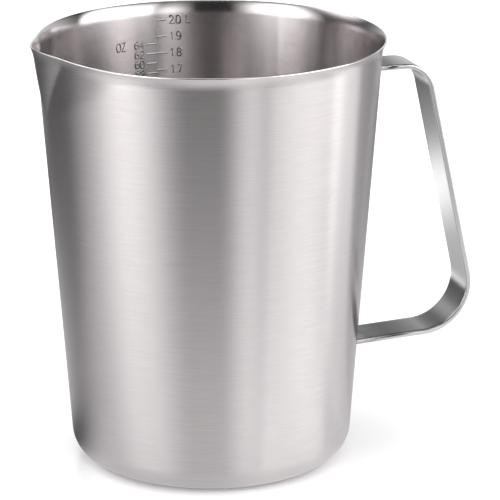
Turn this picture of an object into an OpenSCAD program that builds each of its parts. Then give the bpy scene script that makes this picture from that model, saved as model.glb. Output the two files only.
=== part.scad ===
// Stainless steel measuring jug: a deep-drawn cup with a flared lip and a pressed pouring spout,
// and a bent strap handle that is welded to the wall opposite the spout.
// The middle of the base is the origin, +Z is up, the handle points along +X and the spout along -X.

/* [Body] */
// Height of the rim above the table
body_height = 174; // [120:1:240]
// Diameter at which the line of the wall meets the table
base_d = 113.5; // [80:0.5:160]
// Lean of the wall away from upright, in degrees
wall_lean = 4.2; // [1:0.1:9]
// Thickness of the drawn sheet
sheet_t = 0.8; // [0.5:0.1:1.5]
// Outside radius of the turn from the base into the wall
corner_r = 11; // [4:0.5:20]

/* [Lip] */
// Outside radius of the curve that turns the lip outwards
lip_curve_r = 10; // [5:0.5:20]
// Lean of the lip's edge away from upright, in degrees
lip_lean = 35; // [15:1:60]

/* [Spout] */
// How far outside the lip the two flat sides of the spout would meet, were the nose not rounded
spout_peak = 7.8; // [2:0.1:12]
// Angle over which the nose between the two sides is rounded, in degrees
nose_angle = 9.2; // [3:0.1:12]
// How far the tip of the spout rises above the rim
spout_lift = 0.7; // [0:0.1:2]
// How far the flanks beside the spout are drawn in
spout_draw = 1.5; // [0:0.1:3]
// Rounding of the two creases
crease_soft = 0.3; // [0.1:0.1:1]
// Depth of the spout below the rim
spout_depth = 29.5; // [15:0.5:60]
// Angle at the rim between the tip and the line where a flat side meets the wall, in degrees
crease_angle = 19.8; // [12:0.1:30]
// Angle between the tip and the end of a flank at the rim, in degrees
flank_angle = 64; // [40:1:80]

/* [Handle] */
// Width of the strap
strap_w = 18.3; // [10:0.1:30]
// Thickness of the strap
strap_t = 2; // [1:0.1:4]
// Rounding of the strap's long edges
strap_edge_r = 0.7; // [0.2:0.1:1.5]
// Distance from the rim down to the top of the upper arm
upper_arm_drop = 15.2; // [10:0.1:40]
// Height of the lower arm's middle above the table, at the wall
lower_arm_height = 41.6; // [25:0.1:60]
// How far the strap stands out from the wall at the lower arm
handle_stand_off = 51.6; // [38:0.1:70]
// Lean of the grip away from upright, in degrees
grip_lean = 12.3; // [4:0.1:15]
// Rise of the lower arm away from the wall, in degrees
lower_arm_rise = 2.5; // [0:0.1:12]
// Inside radius of the upper bend
upper_bend_r = 10.8; // [5:0.1:18]
// Inside radius of the lower bend
lower_bend_r = 19.2; // [8:0.1:28]
// Radius of the weld fillet round each end of the strap
weld_r = 0.8; // [0.4:0.1:1.5]

/* [Hidden] */

// Points of an arc, as [across, up], and the skin of triangles between rings of equally many points.
function arc(centre, r, from, to, steps) =
    [for (i = [0 : steps]) let (a = from + (to - from) * i / steps) centre + r * [cos(a), sin(a)]];
function skin(rings, count, closed) =
    [for (i = [0 : closed ? rings - 1 : rings - 2], j = [0 : count - 1])
        let (k = (j + 1) % count, low = i * count, high = (i + 1) % rings * count)
        each [[low + j, high + j, high + k], [low + j, high + k, low + k]]];
function reversed(list) = [for (i = [len(list) - 1 : -1 : 0]) list[i]];

// The wall is a straight line from the table to the neck, where the lip begins to turn outwards.
base_r = base_d / 2;
lip_mid_r = lip_curve_r + sheet_t / 2;
neck_z = body_height - sheet_t / 2 - lip_mid_r * sin(lip_lean) + lip_curve_r * sin(wall_lean);
function wall_r(z) = base_r + z * tan(wall_lean);

// Centres of the curves in the cup's section, as [radius, height].
corner_centre = [wall_r(corner_r) - corner_r / cos(wall_lean), corner_r];
lip_centre = [wall_r(neck_z) + lip_curve_r * cos(wall_lean), neck_z - lip_curve_r * sin(wall_lean)];
edge_centre = lip_centre + lip_mid_r * [-cos(lip_lean), sin(lip_lean)];

// Steps along the section, and the angles between the columns of points round the cup, closer at the spout.
corner_steps = 6;
spout_steps = 12;
lip_steps = 5;
edge_steps = 4;
fine_angle = 2;
coarse_angle = 5;
spout_zone_share = 1.5;
spout_zone_angle = ceil(spout_zone_share * crease_angle / coarse_angle) * coarse_angle;
column_angles = concat(
    [for (a = [-spout_zone_angle : fine_angle : spout_zone_angle]) a],
    [for (a = [spout_zone_angle + coarse_angle : coarse_angle : 360 - spout_zone_angle - coarse_angle]) a]
);

// One face of the sheet, from the base to the edge of the lip, at a depth below the outer face.
spout_foot_z = body_height - spout_depth;
function sheet_face(depth) = concat(
    arc(corner_centre, corner_r - depth, -90, -wall_lean, corner_steps),
    [for (i = [0 : spout_steps - 1])
        let (z = spout_foot_z + (neck_z - spout_foot_z) * i / spout_steps)
        [wall_r(z) - depth / cos(wall_lean), z]],
    arc(lip_centre, lip_curve_r + depth, 180 - wall_lean, 180 - lip_lean, lip_steps)
);

// The section runs up the outer face, over the sheet's rounded edge and down the inner face.
rim_edge = arc(edge_centre, sheet_t / 2, -lip_lean, 180 - lip_lean, edge_steps);
section = concat(
    sheet_face(0),
    [for (i = [1 : edge_steps - 1]) rim_edge[i]],
    reversed(sheet_face(sheet_t))
);

// Radius of the outer face round the axis, below the spout's push.
function outer_r(z) =
    let (h = min(z - lip_centre[1], lip_curve_r * sin(lip_lean)))
    z < neck_z ? wall_r(z) : lip_centre[0] - sqrt(lip_curve_r * lip_curve_r - h * h);

// The spout is a V that is pressed out of the lip: two flat sides run from a crease each to a rounded nose,
// and the flanks beside the creases are drawn in. It narrows downwards and dies away at the spout's foot.
spout_fade_power = 1.5;
side_share = 1.5;
least_angle = 0.1;
function eased(t) = (1 - cos(180 * min(max(t, 0), 1))) / 2;
function larger(a, b, soft) = (a + b + sqrt((a - b) * (a - b) + soft * soft)) / 2;
function spout_rise(z) = min(max((z - spout_foot_z) / spout_depth, 0), 1);
function spout_push(a, z) =
    let (rise_share = spout_rise(z), round_r = outer_r(z))
    let (draw = spout_draw * pow(rise_share, spout_fade_power))
    let (crease = max(crease_angle * rise_share, least_angle))
    let (flank = max((flank_angle - crease_angle) * rise_share, least_angle))
    let (crease_r = round_r - draw, flank_r = round_r - draw * (1 - eased((abs(a) - crease) / flank)))
    let (peak_r = wall_r(z) + (outer_r(body_height) - wall_r(body_height) + spout_peak) * rise_share)
    let (b = min(sqrt(a * a + pow(nose_angle * rise_share, 2)), side_share * crease))
    let (side_r = peak_r * crease_r * sin(crease) / (peak_r * sin(b) + crease_r * sin(crease - b)))
    rise_share > 0 && abs(a) < flank_angle ? larger(side_r, flank_r, crease_soft * rise_share) - round_r : 0;
function spout_raise(a, z) = spout_lift * pow(spout_rise(z), 2) * exp(-pow(a / crease_angle, 2));

function section_ring(point) =
    [for (a = column_angles)
        let (turn = a > 180 ? a - 360 : a, r = point[0] + spout_push(turn, point[1]))
        [-r * cos(a), -r * sin(a), point[1] + spout_raise(turn, point[1])]];

// The cup is one loft: the section is carried round the axis and pushed at the spout, and discs close it.
module jug_body() {
    count = len(column_angles);
    base = [for (j = [0 : count - 1]) j];
    floor = [for (j = [count - 1 : -1 : 0]) (len(section) - 1) * count + j];
    color("silver")
    polyhedron(
        points = [for (point = section) each section_ring(point)],
        faces = concat([base], skin(len(section), count, false), [floor])
    );
}

// Section of the strap: points and their outward normals, as [along the width, out of the bend].
// The outer half goes round from one long edge to the other, and the inner half comes back.
strap_edge_limit_share = 0.45;
edge_r = min(strap_edge_r, strap_edge_limit_share * strap_t);
flat_w = strap_w - 2 * edge_r;
flat_steps = 8;
strap_edge_steps = 3;
function edge_half(side) =
    [for (i = [0 : strap_edge_steps])
        let (a = 90 * i / strap_edge_steps, normal = [side * cos(a), sin(a)])
        [[side * flat_w / 2, strap_t / 2 - edge_r] + edge_r * normal, normal]];
outer_half = concat(
    edge_half(-1),
    [for (i = [1 : flat_steps - 1]) [[flat_w * (i / flat_steps - 1 / 2), strap_t / 2], [0, 1]]],
    reversed(edge_half(1))
);
function flipped(v) = [v[0], -v[1]];
strap_section = concat(outer_half, [for (s = reversed(outer_half)) [flipped(s[0]), flipped(s[1])]]);

// Line of the strap's middle in the plane of the handle, as [x, z]: the centres of its two bends.
upper_z = body_height - upper_arm_drop - strap_t / 2;
lower_z = lower_arm_height;
upper_mid_r = upper_bend_r + strap_t / 2;
lower_mid_r = lower_bend_r + strap_t / 2;
grip_normal = [cos(grip_lean), sin(grip_lean)];
lower_arm_run = handle_stand_off - lower_bend_r - strap_t;
lower_bend = [
    wall_r(lower_z) + lower_arm_run,
    lower_z + lower_arm_run * tan(lower_arm_rise) + lower_mid_r / cos(lower_arm_rise)
];
upper_bend_z = upper_z - upper_mid_r;
upper_bend = [
    (grip_normal * lower_bend + lower_mid_r - upper_mid_r - grip_normal[1] * upper_bend_z) / grip_normal[0],
    upper_bend_z
];
upper_turn = 90 - grip_lean;
lower_turn = 90 + grip_lean - lower_arm_rise;
bend_steps = 12;
function bend_ring(centre, r, a) =
    [for (s = strap_section)
        let (out = r + s[0][1])
        [centre[0] + out * cos(a), s[0][0], centre[1] + out * sin(a)]];

// An arm is [height where its middle line would cross the axis, rise in degrees, side out of the bend].
// A point of an arm lies at a place in the strap's section, and at a distance from the wall along the arm.
weld_gap = 0.02;
upper_arm = [upper_z, 0, 1];
lower_arm = [lower_z - wall_r(lower_z) * tan(lower_arm_rise), lower_arm_rise, -1];
function arm_point(arm, place, distance) =
    let (axis_z = arm[0] + arm[2] * place[1] / cos(arm[1]))
    let (axis_r = wall_r(axis_z) + weld_gap, k = tan(arm[1]) * tan(wall_lean), y = place[0])
    let (reach = sqrt(pow(axis_r * k, 2) + (1 - k * k) * (axis_r * axis_r - y * y)))
    let (x = (axis_r * k + reach) / (1 - k * k))
    [x + distance * cos(arm[1]), y, axis_z + x * tan(arm[1]) + distance * sin(arm[1])];
function arm_end(arm) = [for (s = strap_section) arm_point(arm, s[0], 0)];

// The strap is one sweep of its section, from the wall round both bends and back to the wall.
module handle_strap() {
    rings = concat(
        [arm_end(upper_arm)],
        [for (i = [0 : bend_steps]) bend_ring(upper_bend, upper_mid_r, 90 - upper_turn * i / bend_steps)],
        [for (i = [0 : bend_steps])
            bend_ring(lower_bend, lower_mid_r, grip_lean - lower_turn * i / bend_steps)],
        [arm_end(lower_arm)]
    );
    count = len(strap_section);
    last = (len(rings) - 1) * count;
    top_end = [for (j = [0 : count / 2 - 2])
        let (k = count - 1 - j)
        each [[j, j + 1, k - 1], [j, k - 1, k]]];
    foot_end = [for (face = top_end) [for (i = reversed(face)) last + i]];
    color("lightgray")
    polyhedron(
        points = [for (ring = rings) each ring],
        faces = concat(top_end, skin(len(rings), count, false), foot_end)
    );
}

// Weld fillet round the end of an arm: a hollow-faced bead in the corner between the strap and the wall.
fillet_steps = 3;
function weld_ring(arm, s) = concat(
    [for (p = arc([weld_r, weld_r], weld_r, 180, 270, fillet_steps))
        arm_point(arm, s[0] + p[0] * s[1], p[1])],
    [arm_point(arm, s[0], 0)]
);
module weld_fillet(arm) {
    rings = [for (s = arm[2] > 0 ? strap_section : reversed(strap_section)) weld_ring(arm, s)];
    color("gainsboro")
    polyhedron(points = [for (ring = rings) each ring], faces = skin(len(rings), len(rings[0]), true));
}

module upper_weld() { weld_fillet(upper_arm); }
module lower_weld() { weld_fillet(lower_arm); }

jug_body();
handle_strap();
upper_weld();
lower_weld();
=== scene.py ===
import math

import bpy
from mathutils import Matrix, Vector


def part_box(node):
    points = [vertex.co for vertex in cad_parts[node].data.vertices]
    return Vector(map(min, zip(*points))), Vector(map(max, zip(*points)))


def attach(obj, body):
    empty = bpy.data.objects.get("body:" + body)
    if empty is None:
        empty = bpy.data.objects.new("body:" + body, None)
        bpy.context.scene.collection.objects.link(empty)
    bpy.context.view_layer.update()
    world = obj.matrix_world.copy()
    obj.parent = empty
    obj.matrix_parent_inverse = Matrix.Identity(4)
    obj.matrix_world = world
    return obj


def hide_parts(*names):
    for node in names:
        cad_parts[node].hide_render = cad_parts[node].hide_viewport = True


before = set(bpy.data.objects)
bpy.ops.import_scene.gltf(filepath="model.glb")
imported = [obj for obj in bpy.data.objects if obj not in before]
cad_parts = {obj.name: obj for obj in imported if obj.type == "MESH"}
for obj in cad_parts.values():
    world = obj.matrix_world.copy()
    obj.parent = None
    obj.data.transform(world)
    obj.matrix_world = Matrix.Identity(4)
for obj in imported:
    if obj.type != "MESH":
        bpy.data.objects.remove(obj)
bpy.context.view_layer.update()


# Jug body: one cup, deep-drawn from stainless sheet, with a flared lip and a pouring spout pressed out
# of it. The wall is brushed round the axis inside and out, the lip is polished, and the base and the
# floor are flat.
SPOUT_LIFT = 0.0007
RIM_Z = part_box("jug_body")[1].z - SPOUT_LIFT
SHEET_T = 0.0008
BASE_R = 0.05675
WALL_LEAN = math.radians(4.2)
CORNER_R = 0.011
LIP_CURVE_R = 0.010
LIP_LEAN = math.radians(35)
LIP_MID_R = LIP_CURVE_R + SHEET_T / 2
NECK_Z = RIM_Z - SHEET_T / 2 - LIP_MID_R * math.sin(LIP_LEAN) + LIP_CURVE_R * math.sin(WALL_LEAN)
LIP_CENTRE = (BASE_R + NECK_Z * math.tan(WALL_LEAN) + LIP_CURVE_R * math.cos(WALL_LEAN),
              NECK_Z - LIP_CURVE_R * math.sin(WALL_LEAN))
SPOUT_PEAK = 0.0078
SPOUT_DRAW = 0.0015
SPOUT_DEPTH = 0.0295
SPOUT_FADE_POWER = 1.5
CREASE_SOFT = 0.0003
NOSE_ANGLE = math.radians(9.2)
CREASE_ANGLE = math.radians(19.8)
FLANK_ANGLE = math.radians(64)
SIDE_SHARE = 1.5
LEAST_ANGLE = math.radians(0.1)


def wall_radius(z):
    """Outside radius of the wall's straight line at a height."""
    return BASE_R + z * math.tan(WALL_LEAN)


def arc(centre, radius, start, end, steps):
    """Points of an arc as (across, up), from one angle to another."""
    turns = [start + (end - start) * i / steps for i in range(steps + 1)]
    return [(centre[0] + radius * math.cos(a), centre[1] + radius * math.sin(a)) for a in turns]


def sheet_face(depth, disc_steps=4, corner_steps=12, wall_steps=10, spout_steps=36, lip_steps=14):
    """One face of the sheet, from the base's middle to the lip's edge, at a depth below the outer face."""
    corner = (wall_radius(CORNER_R) - CORNER_R / math.cos(WALL_LEAN), CORNER_R)
    # The first ring of the flat disc is small, and the loft closes it with a cap.
    first_step = 0.1
    disc = [(corner[0] * (i + first_step) / disc_steps, depth) for i in range(disc_steps)]
    turn = arc(corner, CORNER_R - depth, -math.pi / 2, -WALL_LEAN, corner_steps)
    flare = arc(LIP_CENTRE, LIP_CURVE_R + depth, math.pi - WALL_LEAN, math.pi - LIP_LEAN, lip_steps)
    foot_z, spout_z, neck_z = turn[-1][1], RIM_Z - SPOUT_DEPTH, flare[0][1]
    heights = [foot_z + (spout_z - foot_z) * i / wall_steps for i in range(1, wall_steps)]
    heights += [spout_z + (neck_z - spout_z) * i / spout_steps for i in range(spout_steps)]
    wall = [(wall_radius(z) - depth / math.cos(WALL_LEAN), z) for z in heights]
    return disc + turn + wall + flare


def outer_radius(z):
    """Radius of the outer face round the axis, without the spout's push."""
    if z < NECK_Z:
        return wall_radius(z)
    rise = min(z - LIP_CENTRE[1], LIP_CURVE_R * math.sin(LIP_LEAN))
    return LIP_CENTRE[0] - math.sqrt(LIP_CURVE_R ** 2 - rise ** 2)


def eased(t):
    """A smooth step from 0 to 1."""
    return (1 - math.cos(math.pi * min(max(t, 0), 1))) / 2


def spout_rise(z):
    """Share of the spout's depth at a height: 0 at its foot, 1 at the rim."""
    return min(max((z - RIM_Z + SPOUT_DEPTH) / SPOUT_DEPTH, 0), 1)


def spout_push(angle, z):
    """How far the spout pushes the sheet out: two flat sides, a rounded nose and drawn-in flanks."""
    rise = spout_rise(z)
    if rise == 0 or abs(angle) >= FLANK_ANGLE:
        return 0.0
    round_r = outer_radius(z)
    draw = SPOUT_DRAW * rise ** SPOUT_FADE_POWER
    crease = max(CREASE_ANGLE * rise, LEAST_ANGLE)
    flank = max((FLANK_ANGLE - CREASE_ANGLE) * rise, LEAST_ANGLE)
    crease_r = round_r - draw
    flank_r = round_r - draw * (1 - eased((abs(angle) - crease) / flank))
    peak_r = wall_radius(z) + (outer_radius(RIM_Z) - wall_radius(RIM_Z) + SPOUT_PEAK) * rise
    bent = min(math.hypot(angle, NOSE_ANGLE * rise), SIDE_SHARE * crease)
    side_span = peak_r * math.sin(bent) + crease_r * math.sin(crease - bent)
    side_r = peak_r * crease_r * math.sin(crease) / side_span
    return (side_r + flank_r + math.hypot(side_r - flank_r, CREASE_SOFT * rise)) / 2 - round_r


def running_lengths(points):
    """Distance from the first point to each point of a closed line, and back to the first."""
    lengths = [0.0]
    for here, there in zip(points, points[1:] + points[:1]):
        lengths.append(lengths[-1] + math.dist(here, there))
    return lengths


def loft(name, rings, ring_loop=False):
    """A smooth mesh through rings of as many points each, with a map in metres round and along them."""
    rows, columns = len(rings), len(rings[0])
    along = running_lengths([ring[0] for ring in rings])
    around = running_lengths(rings[rows // 2])
    faces, places = [], []
    for i in range(rows if ring_loop else rows - 1):
        for j in range(columns):
            low, high, k = i * columns, (i + 1) % rows * columns, (j + 1) % columns
            faces.append((low + j, low + k, high + k, high + j))
            for u, v in ((j, i), (j + 1, i), (j + 1, i + 1), (j, i + 1)):
                places += [around[u], along[v]]
    if not ring_loop:
        first = list(range(columns))
        last = [(rows - 1) * columns + j for j in first]
        for cap, row in ((first[::-1], 0), (last, rows - 1)):
            faces.append(cap)
            places += [around[0], along[row]] * columns
    mesh = bpy.data.meshes.new(name)
    mesh.from_pydata([point for ring in rings for point in ring], [], faces)
    mesh.polygons.foreach_set("use_smooth", [True] * len(faces))
    mesh.uv_layers.new(name="grain").data.foreach_set("uv", places)
    piece = bpy.data.objects.new(name, mesh)
    bpy.context.scene.collection.objects.link(piece)
    return piece


def add_node(tree, kind, inputs=None, **settings):
    """A node of a kind; an input is given a value, or a (node, output) pair to join it to."""
    node = tree.nodes.new(kind)
    for key, value in settings.items():
        setattr(node, key, value)
    for key, value in (inputs or {}).items():
        if isinstance(value, tuple) and isinstance(value[0], bpy.types.Node):
            tree.links.new(value[0].outputs[value[1]], node.inputs[key])
        else:
            node.inputs[key].default_value = value
    return node


def join(tree, node, output, target, entry):
    """Joins an output of one node to an input of another."""
    tree.links.new(node.outputs[output], target.inputs[entry])


def compute(tree, operation, *values):
    """A math node, whose values are numbers or (node, output) pairs."""
    return add_node(tree, "ShaderNodeMath", dict(enumerate(values)), operation=operation)


def compute_vector(tree, operation, *values):
    """A vector math node, whose values are vectors or (node, output) pairs."""
    return add_node(tree, "ShaderNodeVectorMath", dict(enumerate(values)), operation=operation)


def steel(name, colour, roughness, anisotropy=0.0, spread_turn=0.0):
    """Bare stainless steel: its material, tree and shader. Brushed steel spreads its highlight one way."""
    material = bpy.data.materials.new(name)
    material.use_nodes = True
    tree = material.node_tree
    shader = tree.nodes["Principled BSDF"]
    shader.inputs["Base Color"].default_value = (*colour, 1)
    shader.inputs["Metallic"].default_value = 1.0
    shader.inputs["Roughness"].default_value = roughness
    shader.inputs["Anisotropic"].default_value = anisotropy
    shader.inputs["Anisotropic Rotation"].default_value = spread_turn
    if anisotropy > 0:
        tangent = add_node(tree, "ShaderNodeTangent", direction_type="UV_MAP", uv_map="grain")
        join(tree, tangent, 0, shader, "Tangent")
    return material, tree, shader


def brush(tree, shader, grain, colour, roughness, tone_share, rough_share, groove_depth):
    """Brush lines, a noise drawn out along them: they groove the steel and give its tone and roughness."""
    darkest, lightest = 0.3, 0.7
    lines = add_node(tree, "ShaderNodeTexNoise", {
        "Vector": (grain, 0), "Scale": 1.0, "Detail": 4.0, "Roughness": 0.6})
    tone = add_node(tree, "ShaderNodeValToRGB", {"Fac": (lines, "Fac")})
    dark, light = tone.color_ramp.elements
    dark.position, light.position = darkest, lightest
    dark.color = (*[c * (1 - tone_share) for c in colour], 1)
    light.color = (*[c * (1 + tone_share) for c in colour], 1)
    rough = add_node(tree, "ShaderNodeMapRange", {
        "Value": (lines, "Fac"), "From Min": darkest, "From Max": lightest,
        "To Min": roughness * (1 - rough_share), "To Max": roughness * (1 + rough_share)})
    groove = add_node(tree, "ShaderNodeBump", {"Height": (lines, "Fac"), "Distance": groove_depth})
    join(tree, groove, 0, shader, "Normal")
    return tone, rough


def body_finish(name, lip_run):
    """Steel brushed round the axis, smoother inside, with a polished lip and a painted highlight on its
    edge.
    """
    colour, edge_highlight_colour = (0.70, 0.660, 0.666), (0.97, 0.95, 0.95)
    wall_roughness, inside_share, lip_roughness = 0.28, 0.72, 0.16
    line_turns, line_width, lip_edge = 5.0, 0.0004, 0.0005
    material, tree, shader = steel(name, colour, wall_roughness, anisotropy=1.0, spread_turn=0.25)
    # Lines that follow the direction round the axis close on themselves.
    place = add_node(tree, "ShaderNodeTexCoord")
    level = compute_vector(tree, "MULTIPLY", (place, "Object"), (1, 1, 0))
    round_axis = compute_vector(tree, "NORMALIZE", (level, 0))
    turn = add_node(tree, "ShaderNodeSeparateXYZ", {0: (round_axis, 0)})
    strip = add_node(tree, "ShaderNodeUVMap", uv_map="grain")
    along = add_node(tree, "ShaderNodeSeparateXYZ", {0: (strip, 0)})
    spot = add_node(tree, "ShaderNodeCombineXYZ", {"X": (turn, "X"), "Y": (turn, "Y"), "Z": (along, "Y")})
    grain = compute_vector(tree, "MULTIPLY", (spot, 0), (line_turns, line_turns, 1 / line_width))
    tone, rough = brush(tree, shader, grain, colour, wall_roughness,
                        tone_share=0.055, rough_share=0.02, groove_depth=0.00000012)
    inside = add_node(tree, "ShaderNodeMapRange", {
        "Value": (along, "Y"), "From Min": lip_run - lip_edge, "From Max": lip_run + lip_edge,
        "To Min": 1.0, "To Max": inside_share})
    wall_rough = compute(tree, "MULTIPLY", (rough, 0), (inside, 0))
    height = add_node(tree, "ShaderNodeSeparateXYZ", {0: (place, "Object")})
    lip = add_node(tree, "ShaderNodeMapRange", {
        "Value": (height, "Z"), "From Min": NECK_Z, "From Max": RIM_Z - SHEET_T},
        interpolation_type="SMOOTHSTEP")
    polish = add_node(tree, "ShaderNodeMix", {"Factor": (lip, 0), "A": (wall_rough, 0), "B": lip_roughness})
    join(tree, polish, 0, shader, "Roughness")
    # Painted highlight: the colour turns near white along the lip's edge, where the rim catches the light.
    off_edge = compute(tree, "SUBTRACT", (along, "Y"), lip_run)
    off_size = compute(tree, "ABSOLUTE", (off_edge, 0))
    edge = add_node(tree, "ShaderNodeMapRange", {
        "Value": (off_size, 0), "From Min": SHEET_T, "From Max": SHEET_T / 2})
    painted_edge_highlight = add_node(tree, "ShaderNodeMix", {
        "Factor": (edge, 0), 6: (tone, "Color"), 7: (*edge_highlight_colour, 1)}, data_type="RGBA")
    join(tree, painted_edge_highlight, 2, shader, "Base Color")
    return material


spout_zone, fine, coarse = math.radians(30), math.radians(0.75), math.radians(1.5)
side_steps, zone_steps = round((math.pi - spout_zone) / coarse), round(2 * spout_zone / fine)
column_angles = [math.pi - coarse * i for i in range(side_steps)]
column_angles += [spout_zone - fine * i for i in range(zone_steps)]
column_angles += [-spout_zone - coarse * i for i in range(side_steps)]
outer_face, inner_face = sheet_face(0), sheet_face(SHEET_T)
edge_middle = [(a + b) / 2 for a, b in zip(outer_face[-1], inner_face[-1])]
edge_steps = 8
rim_edge = arc(edge_middle, SHEET_T / 2, -LIP_LEAN, math.pi - LIP_LEAN, edge_steps)[1:-1]
body_rings = []
for radius, z in outer_face + rim_edge + inner_face[::-1]:
    ring = []
    for angle in column_angles:
        reach = radius + spout_push(angle, z)
        lift = SPOUT_LIFT * spout_rise(z) ** 2 * math.exp(-(angle / CREASE_ANGLE) ** 2)
        ring.append((-reach * math.cos(angle), reach * math.sin(angle), z + lift))
    body_rings.append(ring)
body = loft("jug_body_shell", body_rings)
lip_run = running_lengths([ring[0] for ring in body_rings])[len(outer_face) + len(rim_edge) // 2]
body.data.materials.append(body_finish("body_steel_brushed", lip_run))
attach(body, "root")
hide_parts("jug_body")


# Measuring scale: fine ridges of the wall's own steel, pressed up on its inner face, with litres on one
# side of an upright line and ounces on the other. Each litre mark's lower edge lies where the cup really
# holds that volume, and 62 ounces stand level with 1.8 litres.
# The ridges' colour is painted light and shade: each is bright on one side and dark on the other.
LITRE = 0.001
OUNCE = 1.8 / 62 * LITRE
SCALE_ANGLE = math.radians(92.3)
TICK_R = 0.00042
FIGURE_R = 0.00034
UPRIGHT_R = 0.00018
TICK_LENGTH = 0.0045
INSIDE_R = BASE_R - SHEET_T / math.cos(WALL_LEAN)
# Volume that the rounded corner takes, nearly, from a cup with a sharp one.
CORNER_FILL = (1 - math.pi / 4) * (CORNER_R - SHEET_T) ** 2 * 2 * math.pi * (INSIDE_R - CORNER_R / 4)


def fill_height(volume):
    """Height to which a volume fills the cup."""
    lean = math.tan(WALL_LEAN)
    floor_r = INSIDE_R + SHEET_T * lean
    level_r = (floor_r ** 3 + 3 * lean / math.pi * (volume + CORNER_FILL)) ** (1 / 3)
    return (level_r - INSIDE_R) / lean


def new_tree(name, sockets):
    """A Geometry Nodes tree with named inputs, and the group's input and output nodes."""
    tree = bpy.data.node_groups.new(name, "GeometryNodeTree")
    tree.interface.new_socket("Geometry", in_out="INPUT", socket_type="NodeSocketGeometry")
    tree.interface.new_socket("Geometry", in_out="OUTPUT", socket_type="NodeSocketGeometry")
    for label, kind in sockets:
        tree.interface.new_socket(label, in_out="INPUT", socket_type="NodeSocket" + kind)
    return tree, tree.nodes.new("NodeGroupInput"), tree.nodes.new("NodeGroupOutput")


def grow(name, mesh, tree, values):
    """A plain mesh piece that a tree makes from a mesh, with the tree's inputs set by their identifiers."""
    seed = bpy.data.objects.new(name + "_seed", mesh)
    bpy.context.scene.collection.objects.link(seed)
    modifier = seed.modifiers.new("grow", "NODES")
    modifier.node_group = tree
    for socket in tree.interface.items_tree:
        if socket.in_out == "INPUT" and socket.name in values:
            modifier[socket.identifier] = values[socket.name]
    bpy.context.view_layer.update()
    made = bpy.data.meshes.new_from_object(seed.evaluated_get(bpy.context.evaluated_depsgraph_get()))
    made.name = name
    seed.modifiers.clear()
    bpy.data.objects.remove(seed)
    piece = bpy.data.objects.new(name, made)
    bpy.context.scene.collection.objects.link(piece)
    return piece


def ridge_tree(profile_steps=8):
    """Wraps flat strokes, drawn as (across, 0, height), round the inner wall as rounded ridges."""
    tree, start, end = new_tree("ridges_on_wall", [
        ("Wall Radius", "Float"), ("Wall Lean", "Float"), ("Angle", "Float"), ("Ridge Radius", "Float"),
        ("Material", "Material")])
    place = add_node(tree, "GeometryNodeInputPosition")
    flat = add_node(tree, "ShaderNodeSeparateXYZ", {0: (place, 0)})
    slope = compute(tree, "TANGENT", (start, "Wall Lean"))
    radius = compute(tree, "MULTIPLY_ADD", (flat, "Z"), (slope, 0), (start, "Wall Radius"))
    sweep = compute(tree, "DIVIDE", (flat, "X"), (radius, 0))
    angle = compute(tree, "SUBTRACT", (start, "Angle"), (sweep, 0))
    cosine = compute(tree, "COSINE", (angle, 0))
    sine = compute(tree, "SINE", (angle, 0))
    x = compute(tree, "MULTIPLY", (cosine, 0), (radius, 0))
    y = compute(tree, "MULTIPLY", (sine, 0), (radius, 0))
    on_wall = add_node(tree, "ShaderNodeCombineXYZ", {"X": (x, 0), "Y": (y, 0), "Z": (flat, "Z")})
    wrapped = add_node(tree, "GeometryNodeSetPosition", {
        "Geometry": (start, "Geometry"), "Position": (on_wall, 0)})
    stroke = add_node(tree, "GeometryNodeMeshToCurve", {"Mesh": (wrapped, 0)})
    profile = add_node(tree, "GeometryNodeCurvePrimitiveCircle", {
        "Resolution": profile_steps, "Radius": (start, "Ridge Radius")})
    ridge = add_node(tree, "GeometryNodeCurveToMesh", {
        "Curve": (stroke, 0), "Profile Curve": (profile, 0), "Fill Caps": True})
    smooth = add_node(tree, "GeometryNodeSetShadeSmooth", {0: (ridge, 0), "Shade Smooth": True})
    real = add_node(tree, "GeometryNodeRealizeInstances", {0: (smooth, 0)})
    finish = add_node(tree, "GeometryNodeSetMaterial", {
        "Geometry": (real, 0), "Material": (start, "Material")})
    join(tree, finish, 0, end, 0)
    return tree


def bow(x, y, rx, ry, start, end, steps=8):
    """Points of an elliptical arc, with its angles in degrees."""
    turns = [math.radians(start + (end - start) * i / steps) for i in range(steps + 1)]
    return [(x + rx * math.cos(a), y + ry * math.sin(a)) for a in turns]


# Strokes of the figures and unit letters, in shares of their height.
GLYPH_W, DIGIT_GAP = 0.56, 0.18
GLYPHS = {
    "0": [bow(0.28, 0.72, 0.28, 0.28, 0, 180) + bow(0.28, 0.28, 0.28, 0.28, 180, 360) + [(0.56, 0.72)]],
    "1": [[(0.12, 0.8), (0.34, 1), (0.34, 0)]],
    "2": [bow(0.28, 0.72, 0.27, 0.28, 165, -35) + [(0, 0), (0.56, 0)]],
    "3": [bow(0.26, 0.76, 0.25, 0.24, 150, -90) + bow(0.26, 0.26, 0.29, 0.26, 90, -150)],
    "4": [[(0.56, 0.3), (0, 0.3), (0.42, 1), (0.42, 0)]],
    "5": [[(0.52, 1), (0.1, 1), (0.05, 0.55)] + bow(0.27, 0.33, 0.29, 0.33, 130, -140)],
    "6": [bow(0.32, 0.62, 0.32, 0.38, 60, 180) + bow(0.28, 0.3, 0.28, 0.3, 180, 540, 14)],
    "7": [[(0, 1), (0.56, 1), (0.2, 0)]],
    "8": [bow(0.28, 0.76, 0.24, 0.24, -90, 270, 12), bow(0.28, 0.26, 0.28, 0.26, 90, 450, 12)],
    "9": [bow(0.24, 0.38, 0.32, 0.38, -120, 0) + bow(0.28, 0.7, 0.28, 0.3, 0, 360, 14)],
    ".": [[(0, 0), (0, 0.1)]],
    "L": [[(0, 1), (0, 0), (0.46, 0)]],
    "O": [bow(0.3, 0.5, 0.3, 0.5, 90, 450, 16)],
    "Z": [[(0, 1), (0.52, 1), (0, 0), (0.52, 0)]],
}


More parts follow.
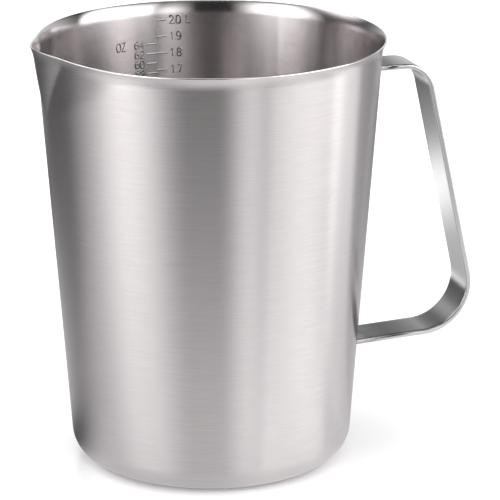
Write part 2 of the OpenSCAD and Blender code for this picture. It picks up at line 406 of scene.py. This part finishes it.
def lettering(text, left, foot, height):
    """Strokes of a line of plain figures, as lists of (across, height) points, and their right end."""
    strokes, x = [], 0.0
    for figure in text:
        if figure == " ":
            x += GLYPH_W
            continue
        for stroke in GLYPHS[figure]:
            strokes.append([(left + (x + px) * height, foot + py * height) for px, py in stroke])
        x += DIGIT_GAP + (0 if figure == "." else GLYPH_W)
    return strokes, left + (x - DIGIT_GAP) * height


litre_gap, ounce_gap, unit_left = 0.0015, 0.0014, -0.0188
litre_size, ounce_size, unit_size = 0.0033, 0.0031, 0.0036
first_tenth, last_tenth = 2, 20
first_ounce, last_ounce, ounce_step = 8, 64, 2
upright = [[(0, fill_height(last_tenth / 10 * LITRE)), (0, fill_height(first_tenth / 10 * LITRE))]]
ticks, litres, ounces = [], [], []
for tenths in range(first_tenth, last_tenth + 1):
    z = fill_height(tenths / 10 * LITRE) + TICK_R
    ticks.append([(0, z), (TICK_LENGTH / 2, z), (TICK_LENGTH, z)])
    label = f"{tenths / 10:.1f}" + (" L" if tenths == last_tenth else "")
    litres += lettering(label, TICK_LENGTH + litre_gap, z - litre_size / 2, litre_size)[0]
for count in range(first_ounce, last_ounce + 1, ounce_step):
    z = fill_height(count * OUNCE) + TICK_R
    ticks.append([(0, z), (-TICK_LENGTH / 2, z), (-TICK_LENGTH, z)])
    width = lettering(str(count), 0, 0, ounce_size)[1]
    left_end = -TICK_LENGTH - ounce_gap - width
    ounces += lettering(str(count), left_end, z - ounce_size / 2, ounce_size)[0]
unit_foot = fill_height(last_ounce * OUNCE) + TICK_R - unit_size / 2
ounces += lettering("OZ", unit_left, unit_foot, unit_size)[0]


def ridge_finish(name, painted_light_side, dark_end, bright_end):
    """Steel with painted light: each ridge painted bright on the side facing one way, dark on the other."""
    painted_shade_colour, painted_highlight_colour, roughness = (0.13, 0.12, 0.12), (0.97, 0.96, 0.96), 0.28
    material, tree, shader = steel(name, painted_highlight_colour, roughness)
    side = add_node(tree, "ShaderNodeTexCoord")
    # Painted light: the colour runs from painted shade to painted highlight as the ridge's side turns
    # towards one direction.
    painted_light_facing = compute_vector(tree, "DOT_PRODUCT", (side, "Normal"), Vector(painted_light_side).normalized())
    share = add_node(tree, "ShaderNodeMapRange", {
        "Value": (painted_light_facing, "Value"), "From Min": dark_end, "From Max": bright_end})
    tone = add_node(tree, "ShaderNodeValToRGB", {"Fac": (share, 0)})
    tone.color_ramp.elements[0].color = (*painted_shade_colour, 1)
    tone.color_ramp.elements[1].color = (*painted_highlight_colour, 1)
    join(tree, tone, "Color", shader, "Base Color")
    return material


# Directions from which the painted light on the scale's ridges falls.
upper_left, upper_right, left = (-0.45, 0.15, 0.88), (0.7, 0.35, 0.45), (-0.7, 0.35, 0.45)
wall_ridges = ridge_tree()
for name, lines, ridge_r, painted_light_side, dark_end, bright_end in (
        ("scale_ticks", ticks, TICK_R, upper_left, -0.15, 0.15),
        ("scale_litres", litres, FIGURE_R, upper_right, 0.0, 0.4),
        ("scale_ounces", ounces, FIGURE_R, left, -0.35, 0.05),
        ("scale_upright", upright, UPRIGHT_R, left, -1.2, -0.9)):
    points, edges = [], []
    for line in lines:
        edges += [(len(points) + i, len(points) + i + 1) for i in range(len(line) - 1)]
        points += [(x, 0, z) for x, z in line]
    flat_lines = bpy.data.meshes.new(name + "_lines")
    flat_lines.from_pydata(points, edges, [])
    sunk = ridge_r / 3
    scale = grow(name, flat_lines, wall_ridges, {
        "Wall Radius": INSIDE_R + sunk, "Wall Lean": WALL_LEAN, "Angle": SCALE_ANGLE,
        "Ridge Radius": ridge_r,
        "Material": ridge_finish(name + "_steel", painted_light_side, dark_end, bright_end)})
    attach(scale, "root")


# Handle strap: one flat stainless strap with rounded edges, bent twice and butted against the wall. It is
# brushed along its length. The upper arm is level, the grip leans in, and the lower arm falls to the wall.
STRAP_W = 0.0183
STRAP_T = 0.002
STRAP_EDGE_R = 0.0007
UPPER_ARM_DROP = 0.0152
UPPER_ARM_Z = RIM_Z - UPPER_ARM_DROP - STRAP_T / 2
LOWER_ARM_Z = 0.0416
STAND_OFF = 0.0516
GRIP_LEAN = math.radians(12.3)
LOWER_RISE = math.radians(2.5)
UPPER_BEND_INSIDE_R = 0.0108
LOWER_BEND_INSIDE_R = 0.0192
UPPER_BEND_R = UPPER_BEND_INSIDE_R + STRAP_T / 2
LOWER_BEND_R = LOWER_BEND_INSIDE_R + STRAP_T / 2
WELD_GAP = 0.00002


def strap_section(flat_steps, edge_steps):
    """Points of the strap's section with their outward normals, as (along the width, out of the bend)."""
    half_w, half_t = STRAP_W / 2 - STRAP_EDGE_R, STRAP_T / 2 - STRAP_EDGE_R
    section = []
    for corner, (side, face) in enumerate(((1, 1), (-1, 1), (-1, -1), (1, -1))):
        for i in range(edge_steps + 1):
            a = math.pi / 2 * (corner + i / edge_steps)
            normal = (math.cos(a), math.sin(a))
            place = (side * half_w + STRAP_EDGE_R * normal[0], face * half_t + STRAP_EDGE_R * normal[1])
            section.append((place, normal))
        if corner in (0, 2):
            flat = [side * half_w * (1 - 2 * i / flat_steps) for i in range(1, flat_steps)]
            section += [((across, face * STRAP_T / 2), (0, face)) for across in flat]
    return section


def arm_point(arm, place, distance):
    """A point of an arm at a place in the strap's section, at a distance from the wall along the arm."""
    axis_height, rise, side = arm
    axis_z = axis_height + side * place[1] / math.cos(rise)
    axis_r = wall_radius(axis_z) + WELD_GAP
    slant = math.tan(rise) * math.tan(WALL_LEAN)
    reach = math.sqrt((axis_r * slant) ** 2 + (1 - slant * slant) * (axis_r ** 2 - place[0] ** 2))
    x = (axis_r * slant + reach) / (1 - slant * slant)
    z = axis_z + x * math.tan(rise) + distance * math.sin(rise)
    return (x + distance * math.cos(rise), place[0], z)


def bend_ring(section, centre, radius, angle):
    """The strap's section at an angle round one of its bends."""
    ring = []
    for (across, out), normal in section:
        reach = radius + out
        ring.append((centre.x + reach * math.cos(angle), across, centre.y + reach * math.sin(angle)))
    return ring


def strap_finish(name):
    """Steel brushed along the strap."""
    colour, roughness = (0.65, 0.648, 0.652), 0.2
    line_length, line_width = 0.03, 0.0006
    material, tree, shader = steel(name, colour, roughness, anisotropy=0.8)
    strip = add_node(tree, "ShaderNodeUVMap", uv_map="grain")
    grain = compute_vector(tree, "MULTIPLY", (strip, 0), (1 / line_width, 1 / line_length, 0))
    tone, rough = brush(tree, shader, grain, colour, roughness,
                        tone_share=0.015, rough_share=0.04, groove_depth=0.0000003)
    join(tree, tone, "Color", shader, "Base Color")
    join(tree, rough, 0, shader, "Roughness")
    return material


# An arm: the height where its middle line meets the axis, its rise, and 1 or -1 as the bend's outside is
# up or down.
upper_arm = (UPPER_ARM_Z, 0.0, 1)
lower_arm = (LOWER_ARM_Z - wall_radius(LOWER_ARM_Z) * math.tan(LOWER_RISE), LOWER_RISE, -1)
grip_out = Vector((math.cos(GRIP_LEAN), math.sin(GRIP_LEAN)))
lower_run = STAND_OFF - LOWER_BEND_R - STRAP_T / 2
lower_bend = Vector((wall_radius(LOWER_ARM_Z) + lower_run, LOWER_ARM_Z + lower_run * math.tan(LOWER_RISE)))
lower_bend.y += LOWER_BEND_R / math.cos(LOWER_RISE)
upper_bend = Vector((0, UPPER_ARM_Z - UPPER_BEND_R))
grip_reach = grip_out.dot(lower_bend) + LOWER_BEND_R - UPPER_BEND_R
upper_bend.x = (grip_reach - grip_out.y * upper_bend.y) / grip_out.x
section = strap_section(flat_steps=12, edge_steps=5)
bend_steps = 32
strap_rings = [[arm_point(upper_arm, place, 0) for place, normal in section]]
for centre, radius, start, end in (
        (upper_bend, UPPER_BEND_R, math.pi / 2, GRIP_LEAN),
        (lower_bend, LOWER_BEND_R, GRIP_LEAN, LOWER_RISE - math.pi / 2)):
    for i in range(bend_steps + 1):
        strap_rings.append(bend_ring(section, centre, radius, start + (end - start) * i / bend_steps))
strap_rings.append([arm_point(lower_arm, place, 0) for place, normal in section])
strap = loft("handle_strap_bar", strap_rings)
strap.data.materials.append(strap_finish("strap_steel_brushed"))
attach(strap, "root")
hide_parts("handle_strap")


# Welds: a thin fillet of stainless weld metal round each end of the strap, which joins it to the wall.
# Each has a hollow face and is ground smooth to a satin finish.
WELD_R = 0.0008


def weld_finish(name):
    """Satin weld metal with the faint ripple of its run."""
    colour, roughness, ripple_depth = (0.62, 0.61, 0.61), 0.3, 0.00002
    dark_share, light_share = 0.9, 1.06
    material, tree, shader = steel(name, colour, roughness)
    place = add_node(tree, "ShaderNodeTexCoord")
    ripple = add_node(tree, "ShaderNodeTexNoise", {
        "Vector": (place, "Object"), "Scale": 900.0, "Detail": 2.0})
    tone = add_node(tree, "ShaderNodeValToRGB", {"Fac": (ripple, "Fac")})
    tone.color_ramp.elements[0].color = (*[c * dark_share for c in colour], 1)
    tone.color_ramp.elements[1].color = (*[c * light_share for c in colour], 1)
    join(tree, tone, "Color", shader, "Base Color")
    groove = add_node(tree, "ShaderNodeBump", {"Height": (ripple, "Fac"), "Distance": ripple_depth})
    join(tree, groove, 0, shader, "Normal")
    return material


weld_steel = weld_finish("weld_steel_satin")
hollow_steps = 6
hollow = arc((WELD_R, WELD_R), WELD_R, math.pi, 1.5 * math.pi, hollow_steps) + [(0, 0)]
for bead, node, arm in (
        ("upper_weld_bead", "upper_weld", upper_arm),
        ("lower_weld_bead", "lower_weld", lower_arm)):
    rings = []
    for place, normal in section:
        ring = []
        for out, distance in hollow:
            corner = (place[0] + out * normal[0], place[1] + out * normal[1])
            ring.append(arm_point(arm, corner, distance))
        rings.append(ring)
    # The lower arm has the section upside down, so its rings run the other way to face outwards.
    weld = loft(bead, rings if arm is upper_arm else rings[::-1], ring_loop=True)
    weld.data.materials.append(weld_steel)
    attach(weld, "root")
    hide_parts(node)


# Table: a plain white top with a polished coat, which the jug stands on. It keeps the jug's shadow, and
# it looks a little brighter to the camera and in mirrors, more so further off, so that it stays white.
TABLE_HALF = 4.0
TABLE_GLOW, FAR_GLOW, GLOW_START, GLOW_END = 0.15, 0.7, 0.3, 1.3

table = bpy.data.meshes.new("table_top")
table_corners = [(x * TABLE_HALF, y * TABLE_HALF, 0) for x, y in ((-1, -1), (1, -1), (1, 1), (-1, 1))]
table.from_pydata(table_corners, [], [(0, 1, 2, 3)])
floor = bpy.data.objects.new("table_top", table)
bpy.context.scene.collection.objects.link(floor)
table_white = bpy.data.materials.new("table_white")
table_white.use_nodes = True
tree = table_white.node_tree
shader = tree.nodes["Principled BSDF"]
shader.inputs["Base Color"].default_value = (0.86, 0.86, 0.86, 1)
shader.inputs["Roughness"].default_value = 0.3
shader.inputs["Coat Weight"].default_value = 1.0
shader.inputs["Coat Roughness"].default_value = 0.04
shader.inputs["Coat IOR"].default_value = 2.4
rays = add_node(tree, "ShaderNodeLightPath")
seen = compute(tree, "MAXIMUM", (rays, "Is Camera Ray"), (rays, "Is Glossy Ray"))
seen = compute(tree, "MAXIMUM", (seen, 0), (rays, "Is Transmission Ray"))
place = add_node(tree, "ShaderNodeTexCoord")
spread = compute_vector(tree, "LENGTH", (place, "Object"))
level = add_node(tree, "ShaderNodeMapRange", {
    "Value": (spread, "Value"), "From Min": GLOW_START, "From Max": GLOW_END,
    "To Min": TABLE_GLOW, "To Max": FAR_GLOW})
glow = compute(tree, "MULTIPLY", (seen, 0), (level, 0))
shader.inputs["Emission Color"].default_value = (1, 1, 1, 1)
join(tree, glow, 0, shader, "Emission Strength")
floor.data.materials.append(table_white)


# Table card: a flat ring of light just over the table, which shows only in mirrors and is clear from below.
# It stands for the lit table that the steel mirrors: brighter near the jug and where the soft boxes light
# it, and shaded between.
CAMERA_TURN = math.radians(-17.2)
CARD_R, CARD_END_R, CARD_Z, CARD_STEPS = 0.0505, 3.0, 0.0005, 96
FAR_LEVEL, NEAR_LEVEL, NEAR_R, NEAR_DIM_SHARE = 0.1, 0.85, 0.5, 0.8
FOOT_R, FOOT_SHADE = 0.12, 0.18
# Shades near the jug: compass centre from the camera's side and half-width in degrees, change of level.
NEAR_SHADES = ((-105, 55, -0.45), (108, 45, -0.4))
# Patches further off: compass centre, half-width and core in degrees, level.
GLOW_PATCHES = (
    (-68, 44, 0, 0.9), (25, 22, 0, 0.5), (82, 60, 10, 0.8), (101, 18, 9, 0.6), (168, 60, 15, 0.25))
# Pools: place, radius, change of level. Four lie behind the jug, where the grip mirrors them, two at its
# left foot, one at its right and one in front.
POOLS = (
    ((0.054, 0.244, 0), 0.07, 1.35), ((-0.01, 0.38, 0), 0.12, -0.35),
    ((0.08, 0.13, 0), 0.09, -0.3), ((0.12, 0.335, 0), 0.1, -0.45),
    ((-0.117, -0.03, 0), 0.12, -0.3), ((-0.072, 0.022, 0), 0.045, -0.3),
    ((0.26, -0.07, 0), 0.15, -0.3), ((-0.1, -0.24, 0), 0.18, 0.15))


def swell(tree, value, edge, level, core=0.0):
    """A soft patch: the level where the value is within the core, falling smoothly to 0 at the edge."""
    return add_node(tree, "ShaderNodeMapRange", {
        "Value": value, "From Min": edge, "From Max": core, "To Min": 0.0, "To Max": level},
        interpolation_type="SMOOTHSTEP")


def compass_heading(centre):
    """Heading in the jug's frame of a compass centre, which is in degrees from the camera's side."""
    return CAMERA_TURN - math.pi / 2 + math.radians(centre)


def compass_off(tree, direction, centre):
    """Angle, round the axis, between a direction and a compass centre."""
    heading = compass_heading(centre)
    flat = compute_vector(tree, "MULTIPLY", direction, (1, 1, 0))
    unit = compute_vector(tree, "NORMALIZE", (flat, 0))
    facing = compute_vector(tree, "DOT_PRODUCT", (unit, 0), (math.cos(heading), math.sin(heading), 0))
    return compute(tree, "ARCCOSINE", (facing, "Value"))


card_points, card_faces = [], []
for j in range(CARD_STEPS):
    a, k = 2 * math.pi * j / CARD_STEPS, (j + 1) % CARD_STEPS
    card_points += [(r * math.cos(a), r * math.sin(a), CARD_Z) for r in (CARD_R, CARD_END_R)]
    card_faces.append((2 * j, 2 * j + 1, 2 * k + 1, 2 * k))
card_mesh = bpy.data.meshes.new("far_table_card")
card_mesh.from_pydata(card_points, [], card_faces)
card = bpy.data.objects.new("far_table_card", card_mesh)
bpy.context.scene.collection.objects.link(card)
card.visible_camera = card.visible_diffuse = card.visible_shadow = False
card_glow = bpy.data.materials.new("far_table_glow")
card_glow.use_nodes = True
tree = card_glow.node_tree
tree.nodes.clear()
place = add_node(tree, "ShaderNodeTexCoord")
distance = compute_vector(tree, "LENGTH", (place, "Object"))
near = swell(tree, (distance, "Value"), NEAR_R, 1.0)
dim = compute(tree, "MULTIPLY_ADD", (near, 0), -NEAR_DIM_SHARE, 1.0)
foot = swell(tree, (distance, "Value"), FOOT_R, -FOOT_SHADE, BASE_R)
near_level = compute(tree, "ADD", (foot, 0), NEAR_LEVEL)
for centre, width, change in NEAR_SHADES:
    shade = swell(tree, (compass_off(tree, (place, "Object"), centre), 0), math.radians(width), change)
    near_level = compute(tree, "ADD", (near_level, 0), (shade, 0))
total = compute(tree, "MULTIPLY_ADD", (near, 0), (near_level, 0), FAR_LEVEL)
for centre, width, core, level in GLOW_PATCHES:
    off = compass_off(tree, (place, "Object"), centre)
    patch = swell(tree, (off, 0), math.radians(width), level, math.radians(core))
    total = compute(tree, "MULTIPLY_ADD", (patch, 0), (dim, 0), (total, 0))
for spot, radius, level in POOLS:
    off = compute_vector(tree, "DISTANCE", (place, "Object"), spot)
    pool = swell(tree, (off, "Value"), radius, level)
    total = compute(tree, "ADD", (total, 0), (pool, 0))
lamp = add_node(tree, "ShaderNodeEmission", {"Strength": (total, 0)})
clear = add_node(tree, "ShaderNodeBsdfTransparent")
face = add_node(tree, "ShaderNodeNewGeometry")
one_sided = add_node(tree, "ShaderNodeMixShader", {0: (face, "Backfacing"), 1: (lamp, 0), 2: (clear, 0)})
add_node(tree, "ShaderNodeOutputMaterial", {"Surface": (one_sided, 0)})
card.data.materials.append(card_glow)


# Soft boxes: big ones left and right of the camera, a small one beside it, a pale wall behind, one box
# overhead and one high up at the left behind. They make up the world, which lights the jug and shows in it.
HIGH_LEVEL = 0.02
FADE_START_Z, FADE_END_Z, BOX_TOP_Z = 0.2, 0.6, 0.85
# Side boxes: compass centre, half-width and core in degrees, level, share of the level high up.
SIDE_BOXES = (
    (-51, 38, 4, 3.5, 0.7), (28, 20, 0, 2.0, 0.4), (70, 34, 24, 3.0, 0.6), (165, 80, 15, 0.75, 0.0))
# High boxes: compass centre, tilt from overhead and half-width in degrees, level.
HIGH_BOXES = ((0, 0, 26, 2.2), (-116, 50, 28, 2.8))

world = bpy.data.worlds.new("studio")
bpy.context.scene.world = world
world.use_nodes = True
tree = world.node_tree
direction = add_node(tree, "ShaderNodeTexCoord")
axes = add_node(tree, "ShaderNodeSeparateXYZ", {0: (direction, "Generated")})
total = add_node(tree, "ShaderNodeValue")
total.outputs[0].default_value = HIGH_LEVEL
for centre, tilt, width, level in HIGH_BOXES:
    heading, lean = compass_heading(centre), math.radians(tilt)
    middle = (math.sin(lean) * math.cos(heading), math.sin(lean) * math.sin(heading), math.cos(lean))
    facing = compute_vector(tree, "DOT_PRODUCT", (direction, "Generated"), middle)
    off = compute(tree, "ARCCOSINE", (facing, "Value"))
    box = swell(tree, (off, 0), math.radians(width), level)
    total = compute(tree, "ADD", (total, 0), (box, 0))
for centre, width, core, level, high_share in SIDE_BOXES:
    off = compass_off(tree, (direction, "Generated"), centre)
    patch = swell(tree, (off, 0), math.radians(width), level, math.radians(core))
    fade = add_node(tree, "ShaderNodeMapRange", {
        "Value": (axes, "Z"), "From Min": FADE_START_Z, "From Max": FADE_END_Z,
        "To Min": 1.0, "To Max": high_share}, interpolation_type="SMOOTHSTEP")
    over = compute(tree, "SUBTRACT", (axes, "Z"), FADE_END_Z)
    end = swell(tree, (over, 0), BOX_TOP_Z - FADE_END_Z, 1.0)
    faded = compute(tree, "MULTIPLY", (patch, 0), (fade, 0))
    box = compute(tree, "MULTIPLY", (faded, 0), (end, 0))
    total = compute(tree, "ADD", (total, 0), (box, 0))
join(tree, total, 0, tree.nodes["Background"], "Strength")
tree.nodes["Background"].inputs["Color"].default_value = (1, 1, 1, 1)


# Table lamp: one large soft lamp that hangs over the table and lights it evenly.
# The steel doesn't mirror it.
LAMP_SIZE, LAMP_HEIGHT, LAMP_POWER = 3.0, 1.5, 70.0

lamp_data = bpy.data.lights.new("table_lamp", "AREA")
lamp_data.size = LAMP_SIZE
lamp_data.energy = LAMP_POWER
table_lamp = bpy.data.objects.new("table_lamp", lamp_data)
bpy.context.scene.collection.objects.link(table_lamp)
table_lamp.location = (0, 0, LAMP_HEIGHT)
table_lamp.visible_glossy = False


# Camera: it stands a little over a metre in front of the jug, turned towards the spout's side, and looks
# down on it. Its lens is given in pixels of a picture 500 wide.
IMAGE_W, FOCAL_PIXELS = 500, 2830.3
CAMERA_PITCH, CAMERA_YAW = math.radians(17.094), math.radians(0.836)
CAMERA_BACK, CAMERA_HEIGHT = 1.1044, 0.4246

camera_data = bpy.data.cameras.new("camera")
camera = bpy.data.objects.new("camera", camera_data)
bpy.context.scene.collection.objects.link(camera)
bpy.context.scene.camera = camera
camera_data.lens = FOCAL_PIXELS * camera_data.sensor_width / IMAGE_W
turn = Matrix.Rotation(CAMERA_TURN, 3, "Z")
camera.location = turn @ Vector((0, -CAMERA_BACK, CAMERA_HEIGHT))
level_aim = math.cos(CAMERA_PITCH)
aim = Vector((math.sin(CAMERA_YAW) * level_aim, math.cos(CAMERA_YAW) * level_aim, -math.sin(CAMERA_PITCH)))
camera.rotation_euler = (turn @ aim).to_track_quat("-Z", "Y").to_euler()
bpy.context.scene.view_settings.view_transform = "Standard"
